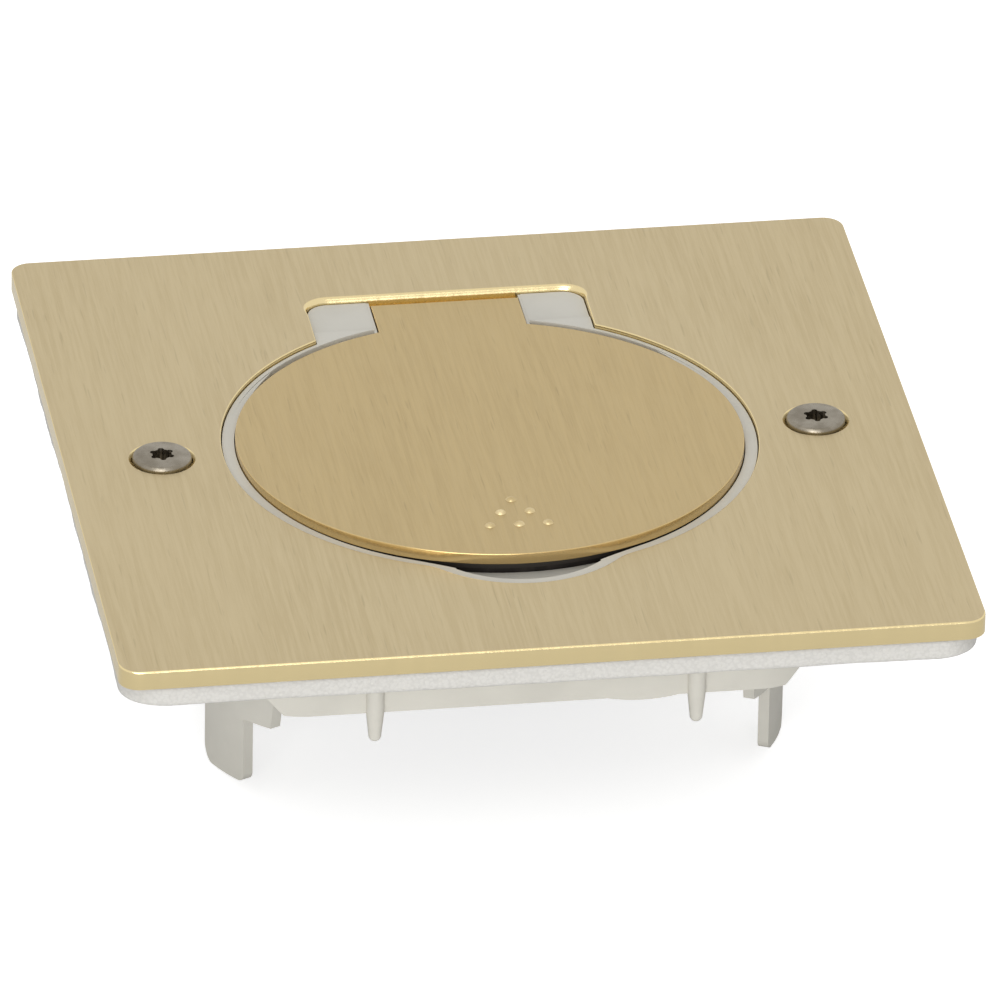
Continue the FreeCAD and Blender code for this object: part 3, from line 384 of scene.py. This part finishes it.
# The lid, drawn pressed shut, and the angle by which it stands open
LID_R = 29.65
LID_LOW = 3.2
LID_TOP = 4.5
LID_LIP = 0.12
LID_LIFT = 1.4
HINGE_Y = 33.1
HINGE_Z = 1.5
TAB_HALF = 8.8
TAB_FLAT_END = 35.2
TAB_END_LIP = 0.02
TAB_ROLL_R = 3.66
TAB_ROLL_INNER_R = 2.2
TAB_ROLL_END = 32.0
TAB_ROLL_STEPS = 12
PIP_R = 0.66
PIP_HEIGHT = 0.32
PIP_SUNK = 0.1
PIP_PITCH = (3.4, 3.1)
PIP_ROWS = 3
PIP_FIRST_Y = -16.1
PIP_STEPS = 24
PIP_RINGS = 8

# The collar's lining: a land each side of the lid, with angles from +X towards the hinge
LINING_INNER_R = 29.76
LINING_OUTER_R = 30.55
LINING_LOW = 3.0
LINING_TOP = 4.49
LINING_BACK = 41.0
LINING_FRONT = -74.0
LINING_BACK_TAPER = 22.0
LINING_FRONT_TAPER = 11.0
LINING_TAPER_DEPTH = 0.9
LINING_STEPS = 110

# The lining's cheeks beside the hinge tab
CHEEK_IN = 8.92
CHEEK_OUT = 9.27
CHEEK_FRONT = 28.9
CHEEK_BACK = 36.4
CHEEK_LOW = -2.0
CHEEK_TOP = 4.22

SHARP_ANGLE = math.radians(32)


# ---------------------------------------------------------------- outlines

def arc_points(x, y, radius, start, end):
    """Points along an arc from one angle to another in degrees, without the last."""
    count = max(3, int(abs(math.radians(end - start)) * radius / SPACING))
    turns = [math.radians(start + (end - start) * i / count) for i in range(count)]
    return [Vector((x + radius * math.cos(t), y + radius * math.sin(t))) for t in turns]


def line_points(start, end):
    """Points along a straight run, without the last."""
    count = max(1, int((end - start).length / SPACING))
    return [start.lerp(end, i / count) for i in range(count)]


def rounded_square_points(half, radius):
    """A square's outline with round corners, anticlockwise from the right side's back end."""
    inner = half - radius
    centres = [Vector(c) for c in ((inner, inner), (-inner, inner), (-inner, -inner), (inner, -inner))]
    points = []
    for i, centre in enumerate(centres):
        start, end = 90 * i, 90 * i + 90
        points += arc_points(centre.x, centre.y, radius, start, end)
        out = Vector((math.cos(math.radians(end)), math.sin(math.radians(end)))) * radius
        points += line_points(centre + out, centres[(i + 1) % 4] + out)
    return points


def opening_points():
    """The opening's outline, anticlockwise from the middle of the finger recess."""
    far = OPENING_R + RECESS_BLEND_R
    near = RECESS_R + RECESS_BLEND_R
    blend_y = (far ** 2 - near ** 2 + RECESS_Y ** 2) / (2 * RECESS_Y)
    blend = Vector((math.sqrt(far ** 2 - blend_y ** 2), blend_y))
    on_small = math.degrees(math.atan2(blend.y - RECESS_Y, blend.x))
    on_big = math.degrees(math.atan2(blend.y, blend.x))
    foot = math.degrees(math.asin(NOTCH_HALF / OPENING_R))
    half = arc_points(0, RECESS_Y, RECESS_R, -90, on_small)
    half += arc_points(blend.x, blend.y, RECESS_BLEND_R, on_small + 180, on_big + 180)
    half += arc_points(0, 0, OPENING_R, on_big, 90 - foot)
    corner = Vector((NOTCH_HALF - NOTCH_CORNER_R, NOTCH_BACK - NOTCH_CORNER_R))
    start = Vector((NOTCH_HALF, math.sqrt(OPENING_R ** 2 - NOTCH_HALF ** 2)))
    half += line_points(start, corner + Vector((NOTCH_CORNER_R, 0)))
    half += arc_points(corner.x, corner.y, NOTCH_CORNER_R, 0, 90)
    half += line_points(corner + Vector((0, NOTCH_CORNER_R)), Vector((0, NOTCH_BACK)))
    other = [Vector((-p.x, p.y)) for p in half[1:]]
    return half + [Vector((0, NOTCH_BACK))] + other[::-1]


def lid_points():
    """The lid's outline with its hinge tab, anticlockwise from the left of the tab's foot."""
    foot = math.degrees(math.asin(TAB_HALF / LID_R))
    foot_y = math.sqrt(LID_R ** 2 - TAB_HALF ** 2)
    right_foot, right_end = Vector((TAB_HALF, foot_y)), Vector((TAB_HALF, TAB_FLAT_END))
    left_foot, left_end = Vector((-TAB_HALF, foot_y)), Vector((-TAB_HALF, TAB_FLAT_END))
    points = arc_points(0, 0, LID_R, 90 + foot, 450 - foot)
    for start, end in ((right_foot, right_end), (right_end, left_end), (left_end, left_foot)):
        points += line_points(start, end)
    return points


def normals_of(points):
    """Level unit vectors to the right of an outline's direction: outwards if it runs anticlockwise."""
    normals = []
    for i, point in enumerate(points):
        along = points[(i + 1) % len(points)] - points[i - 1]
        normals.append(Vector((along.y, -along.x)).normalized())
    return normals


# ---------------------------------------------------------------- meshes

class Solid:
    """A mesh built ring by ring, in millimetres."""

    def __init__(self):
        self.mesh = bmesh.new()

    def vert(self, x, y, z):
        return self.mesh.verts.new((x * MM, y * MM, z * MM))

    def ring(self, points, normals, shifts, levels):
        """An outline's points, each shifted along its normal, at their levels."""
        corners = zip(points, normals, shifts, levels)
        return [self.vert(p.x + n.x * d, p.y + n.y * d, z) for p, n, d, z in corners]

    def circle(self, x, y, radius, level, count):
        turns = [2 * math.pi * i / count for i in range(count)]
        return [self.vert(x + radius * math.cos(t), y + radius * math.sin(t), level) for t in turns]

    def wall(self, rings):
        for low, high in zip(rings, rings[1:]):
            for i in range(len(low)):
                j = (i + 1) % len(low)
                self.mesh.faces.new((low[i], low[j], high[j], high[i]))

    def closed(self, rings):
        """A wall through the rings, with a face at each end."""
        self.wall(rings)
        self.mesh.faces.new(rings[0])
        self.mesh.faces.new(rings[-1])

    def block(self, low, high):
        corners = ((low.x, low.y), (high.x, low.y), (high.x, high.y), (low.x, high.y))
        self.closed([[self.vert(x, y, z) for x, y in corners] for z in (low.z, high.z)])

    def edge(self, points, lips, low, top, side):
        """An upright wall with a rounded top lip. Side is 1 for an own outline and -1 for a hole's."""
        normals = normals_of(points)
        count = len(points)
        rings = [self.ring(points, normals, [0.0] * count, [low] * count)]
        for step in range(LIP_STEPS + 1):
            turn = math.pi / 2 * step / LIP_STEPS
            shifts = [-side * lip * (1 - math.cos(turn)) for lip in lips]
            levels = [top - lip * (1 - math.sin(turn)) for lip in lips]
            rings.append(self.ring(points, normals, shifts, levels))
        rings.append(self.ring(points, normals, [-side * (lip + LIP_GUARD) for lip in lips], [top] * count))
        self.wall(rings)
        return rings[0], rings[-1]

    def fill(self, loops):
        """A level face between an outline and its holes."""
        flat = [vert for loop in loops for vert in loop]
        for a, b, c in geometry.tessellate_polygon([[vert.co for vert in loop] for loop in loops]):
            self.mesh.faces.new((flat[a], flat[b], flat[c]))

    def lift(self, angle):
        """Turn the lid's pieces open about the hinge."""
        centre = Vector((0, HINGE_Y * MM, HINGE_Z * MM))
        turn = Matrix.Rotation(math.radians(-angle), 4, "X")
        move = Matrix.Translation(centre) @ turn @ Matrix.Translation(-centre)
        bmesh.ops.transform(self.mesh, matrix=move, verts=self.mesh.verts)

    def finish(self, name, material, body, replaced=None, sharp=True):
        bmesh.ops.recalc_face_normals(self.mesh, faces=self.mesh.faces)
        data = bpy.data.meshes.new(name)
        self.mesh.to_mesh(data)
        self.mesh.free()
        for face in data.polygons:
            face.use_smooth = True
        if sharp:
            data.set_sharp_from_angle(angle=SHARP_ANGLE)
        data.materials.append(MATERIALS[material])
        piece = bpy.data.objects.new(name, data)
        bpy.context.scene.collection.objects.link(piece)
        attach(piece, body)
        if replaced:
            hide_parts(replaced)
        return piece


def cover_top():
    """The cover plate with crisp lips; the lip of the hinge notch is softer."""
    solid = Solid()
    outline = rounded_square_points(PLATE_HALF, PLATE_CORNER_R)
    outer_lips = [FRONT_LIP if p.y < PLATE_CORNER_R - PLATE_HALF else SIDE_LIP for p in outline]
    opening = opening_points()
    grown = [min(1.0, max(0.0, (p.y - LIP_GROWS_Y) / LIP_GROWS_OVER)) for p in opening]
    opening_lips = [OPENING_LIP + (NOTCH_LIP - OPENING_LIP) * share for share in grown]
    ends = [
        solid.edge(outline, outer_lips, PLATE_LOW, PLATE_TOP, 1),
        solid.edge(opening, opening_lips, PLATE_LOW, PLATE_TOP, -1),
    ]
    for x in (-SCREW_X, SCREW_X):
        sink = ((HOLE_R, PLATE_LOW), (HOLE_R, PLATE_TOP - SINK_R + HOLE_R), (SINK_R, PLATE_TOP))
        rings = [solid.circle(x, 0, radius, level, SCREW_STEPS) for radius, level in sink]
        solid.wall(rings)
        ends.append((rings[0], rings[-1]))
    solid.fill([top for low, top in ends])
    solid.fill([low for low, top in ends])
    solid.finish("cover_top", "cover_plate", "base", replaced="cover_plate")


def lid_top():
    """The lid's brass with its tab and the rolled end round the pin."""
    solid = Solid()
    outline = lid_points()
    lips = [LID_LIP if p.y < TAB_FLAT_END - CLOSE else TAB_END_LIP for p in outline]
    low, top = solid.edge(outline, lips, LID_LOW, LID_TOP, 1)
    solid.fill([low])
    solid.fill([top])
    first = math.atan2(LID_TOP - HINGE_Z, TAB_FLAT_END - HINGE_Y)
    last = math.radians(TAB_ROLL_END)
    turns = [first + (last - first) * i / TAB_ROLL_STEPS for i in range(TAB_ROLL_STEPS + 1)]
    profile = [(TAB_ROLL_R, t) for t in turns] + [(TAB_ROLL_INNER_R, t) for t in turns[::-1]]
    ends = []
    for x in (-TAB_HALF, TAB_HALF):
        ends.append([solid.vert(x, HINGE_Y + r * math.cos(t), HINGE_Z + r * math.sin(t)) for r, t in profile])
    solid.closed(ends)
    solid.lift(LID_LIFT)
    solid.finish("lid_top", "lid_plate", "lid", replaced="lid_plate")


def lid_pips():
    """The triangle of raised pips at the lid's front."""
    solid = Solid()
    for row in range(PIP_ROWS):
        for column in range(row + 1):
            pip(solid, (column - row / 2) * PIP_PITCH[0], PIP_FIRST_Y - row * PIP_PITCH[1])
    solid.lift(LID_LIFT)
    solid.finish("lid_pips", "lid_pips", "lid")


def pip(solid, x, y):
    """A raised dome whose foot is sunk a little into the lid."""
    radius = (PIP_R ** 2 + PIP_HEIGHT ** 2) / (2 * PIP_HEIGHT)
    reach = math.asin(PIP_R / radius)
    rings = [solid.circle(x, y, PIP_R, LID_TOP - PIP_SUNK, PIP_STEPS)]
    for step in range(PIP_RINGS):
        turn = reach * (1 - step / PIP_RINGS)
        level = LID_TOP + PIP_HEIGHT - radius * (1 - math.cos(turn))
        rings.append(solid.circle(x, y, radius * math.sin(turn), level, PIP_STEPS))
    solid.closed(rings)


def collar_lining():
    """The collar's inner edge: a thin land each side of the lid, and a cheek each side of the hinge tab."""
    solid = Solid()
    depth = (LINING_OUTER_R - LINING_INNER_R) * LINING_TAPER_DEPTH
    for side in (-1, 1):
        rings = []
        for step in range(LINING_STEPS + 1):
            turn = LINING_FRONT + (LINING_BACK - LINING_FRONT) * step / LINING_STEPS
            near_back = (turn - LINING_BACK) / LINING_BACK_TAPER + 1
            near_front = (LINING_FRONT - turn) / LINING_FRONT_TAPER + 1
            inner = LINING_INNER_R + depth * max(0.0, near_back, near_front) ** 2
            x, y = side * math.cos(math.radians(turn)), math.sin(math.radians(turn))
            corners = (
                (inner, LINING_LOW),
                (inner, LINING_TOP),
                (LINING_OUTER_R, LINING_TOP),
                (LINING_OUTER_R, LINING_LOW),
            )
            rings.append([solid.vert(radius * x, radius * y, level) for radius, level in corners])
        solid.closed(rings)
        reach = sorted((side * CHEEK_IN, side * CHEEK_OUT))
        solid.block(Vector((reach[0], CHEEK_FRONT, CHEEK_LOW)), Vector((reach[1], CHEEK_BACK, CHEEK_TOP)))
    solid.finish("collar_lining", "white_plastic", "base")


# ---------------------------------------------------------------- foam gasket

# In metres, because the hole comes from the CAD gasket
FOAM_HALF = 49.75 * MM
FOAM_CORNER = 5.0 * MM
FOAM_EDGE_ROUND = 0.45 * MM
FOAM_WAVE = 0.22 * MM
FOAM_WAVE_RATE = 90.0
FOAM_RIPPLE = 0.4 * FOAM_WAVE
FOAM_RIPPLE_RATE = 330.0
FOAM_INSET = 0.6 * FOAM_WAVE
FOAM_BEAD = 0.75 * MM
FOAM_BEAD_RISE = 0.06 * MM
FOAM_STEPS = 1320
FOAM_ROWS = 9
FOAM_RINGS = 10
LEVEL_TOLERANCE = 1e-6


def gasket_hole(ways):
    """How far the hole in the CAD gasket reaches from the centre in each direction."""
    mesh = NODES["floor_gasket"].data
    low = min(v.co.z for v in mesh.vertices)
    walls = []
    for face in mesh.polygons:
        foot = [mesh.vertices[i].co for i in face.vertices if mesh.vertices[i].co.z - low < LEVEL_TOLERANCE]
        faces_in = face.center.x * face.normal.x + face.center.y * face.normal.y < 0
        if abs(face.normal.z) <= 0.5 and faces_in and len(foot) >= 2:
            walls.append((foot[0], foot[-1]))
    return [max(crossing(way, a, b) for a, b in walls) for way in ways]


def crossing(way, a, b):
    """How far from the centre a ray crosses a wall from a to b, or 0 where it misses."""
    across_a = way.x * a.y - way.y * a.x
    across_b = way.x * b.y - way.y * b.x
    if across_a * across_b > 0 or across_a == across_b:
        return 0.0
    share = across_a / (across_a - across_b)
    return max(0.0, (a.x + (b.x - a.x) * share) * way.x + (a.y + (b.y - a.y) * share) * way.y)


def rounded_square_reach(way, half, corner):
    """Distance from the centre to a rounded square's outline in one direction."""
    x, y = abs(way.x), abs(way.y)
    straight = half / max(x, y)
    inner = half - corner
    if min(x, y) * straight <= inner:
        return straight
    along = (x + y) * inner
    return along + math.sqrt(along * along - 2 * inner * inner + corner * corner)


def foam_edge(way, level, back):
    """A point of the pad's outer wall, with the foam's wave, ripple and beads."""
    reach = rounded_square_reach(way, FOAM_HALF - back, FOAM_CORNER)
    rise = Vector((0, 0, level))
    point = way * reach + rise
    reach += noise.noise(point * FOAM_WAVE_RATE) * FOAM_WAVE
    reach += noise.noise(point * FOAM_RIPPLE_RATE) * FOAM_RIPPLE
    bead = noise.voronoi(point / FOAM_BEAD)[0][0]
    return way * (reach - FOAM_INSET - bead * FOAM_BEAD_RISE) + rise


def foam_gasket():
    """The soft foam pad: a beaded, slightly wavy slab cut round the support frame."""
    low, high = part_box("floor_gasket")
    turns = [2 * math.pi * i / FOAM_STEPS for i in range(FOAM_STEPS)]
    ways = [Vector((math.cos(t), math.sin(t), 0.0)) for t in turns]
    holes = [way * hole for way, hole in zip(ways, gasket_hole(ways))]
    outer = []
    for row in range(FOAM_ROWS + 1):
        level = low.z + (high.z - low.z) * (row / FOAM_ROWS)
        short = max(0.0, FOAM_EDGE_ROUND - min(level - low.z, high.z - level))
        back = FOAM_EDGE_ROUND - math.sqrt(max(0.0, FOAM_EDGE_ROUND ** 2 - short ** 2))
        outer.append([foam_edge(way, level, back) for way in ways])

    def flat_ring(edge, level, share):
        """Points between the hole, at share 0, and the outer edge, at share 1."""
        rise = Vector((0, 0, level))
        return [(hole + rise).lerp(point, share) for hole, point in zip(holes, edge)]

    shares = [i / FOAM_RINGS for i in range(FOAM_RINGS)]
    rings = [flat_ring(outer[0], low.z, share) for share in shares]
    rings += outer
    rings += [flat_ring(outer[-1], high.z, share) for share in shares[::-1]]
    solid = Solid()
    verts = [[solid.mesh.verts.new(point) for point in ring] for ring in rings]
    solid.wall(verts + verts[:1])
    pad = solid.finish("foam_gasket", "foam", "base", replaced="floor_gasket", sharp=False)


# ---------------------------------------------------------------- stage, light and camera

FLOOR_SIZE = 6.0
FLOOR_GAP = 0.0005
WORLD_LIGHT = 0.62
# Name, place, size in metres and power in watts
LAMPS = (
    ("key_softbox", (-0.30, -0.70, 1.10), 0.8, 4.2),
    ("front_fill", (-0.35, -1.30, 0.28), 0.9, 11.5),
)

CAMERA_AZIMUTH = math.radians(9.25)
CAMERA_ELEVATION = math.radians(28.5)
CAMERA_ROLL = math.radians(1.05)
CAMERA_DISTANCE = 1.931
AIM_RIGHT = 0.00118
AIM_DOWN = 0.00710
LENS = 597.3
SENSOR_WIDTH = 36.0
CLIP_END = 20.0


def studio_floor():
    bpy.ops.mesh.primitive_plane_add(size=FLOOR_SIZE, location=(0, 0, CAD_LOW.z - FLOOR_GAP))
    floor = bpy.context.object
    floor.name = "studio_floor"
    floor.data.materials.append(floor_paper())


def studio_world():
    """Even white surroundings, dimmer for diffuse light than what the camera or a reflection sees."""
    world = bpy.data.worlds.new("studio_world")
    bpy.context.scene.world = world
    world.use_nodes = True
    nodes, links = world.node_tree.nodes, world.node_tree.links
    nodes.clear()
    path = nodes.new("ShaderNodeLightPath")
    seen = path.outputs["Is Camera Ray"]
    for name in ("Is Glossy Ray", "Is Transmission Ray"):
        either = nodes.new("ShaderNodeMath")
        either.operation = "MAXIMUM"
        links.new(seen, either.inputs[0])
        links.new(path.outputs[name], either.inputs[1])
        seen = either.outputs[0]
    strength = nodes.new("ShaderNodeMapRange")
    strength.inputs["To Min"].default_value = WORLD_LIGHT
    strength.inputs["To Max"].default_value = 1.0
    links.new(seen, strength.inputs["Value"])
    background = nodes.new("ShaderNodeBackground")
    background.inputs["Color"].default_value = (1.0, 1.0, 1.0, 1.0)
    links.new(strength.outputs["Result"], background.inputs["Strength"])
    output = nodes.new("ShaderNodeOutputWorld")
    links.new(background.outputs[0], output.inputs[0])


def area_light(name, place, size, power):
    """A square lamp that faces the origin."""
    data = bpy.data.lights.new(name, "AREA")
    data.size = size
    data.energy = power
    lamp = bpy.data.objects.new(name, data)
    bpy.context.scene.collection.objects.link(lamp)
    lamp.location = place
    lamp.rotation_euler = (-Vector(place)).to_track_quat("-Z", "Y").to_euler()


def camera():
    """A long lens from the front and a little to the left, 28.5 degrees above the floor."""
    level_reach = math.cos(CAMERA_ELEVATION)
    forward = Vector((
        math.sin(CAMERA_AZIMUTH) * level_reach,
        math.cos(CAMERA_AZIMUTH) * level_reach,
        -math.sin(CAMERA_ELEVATION),
    ))
    level = Vector((math.cos(CAMERA_AZIMUTH), -math.sin(CAMERA_AZIMUTH), 0.0))
    above = level.cross(forward)
    right = math.cos(CAMERA_ROLL) * level + math.sin(CAMERA_ROLL) * above
    upward = math.cos(CAMERA_ROLL) * above - math.sin(CAMERA_ROLL) * level
    plate_centre = Vector((0.0, 0.0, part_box("cover_plate")[1].z))
    place = plate_centre - forward * CAMERA_DISTANCE
    aim = (plate_centre + right * AIM_RIGHT - upward * AIM_DOWN - place).normalized()
    right = aim.cross(upward).normalized()
    upward = right.cross(aim)
    data = bpy.data.cameras.new("camera")
    data.sensor_width = SENSOR_WIDTH
    data.lens = LENS
    data.clip_end = CLIP_END
    cam = bpy.data.objects.new("camera", data)
    bpy.context.scene.collection.objects.link(cam)
    cam.matrix_world = Matrix((
        (right.x, upward.x, -aim.x, place.x),
        (right.y, upward.y, -aim.y, place.y),
        (right.z, upward.z, -aim.z, place.z),
        (0.0, 0.0, 0.0, 1.0),
    ))
    bpy.context.scene.camera = cam


dress_cad_nodes()
cover_top()
lid_top()
lid_pips()
collar_lining()
foam_gasket()
camera()
studio_floor()
studio_world()
for lamp in LAMPS:
    area_light(*lamp)
bpy.context.scene.view_settings.view_transform = "Standard"
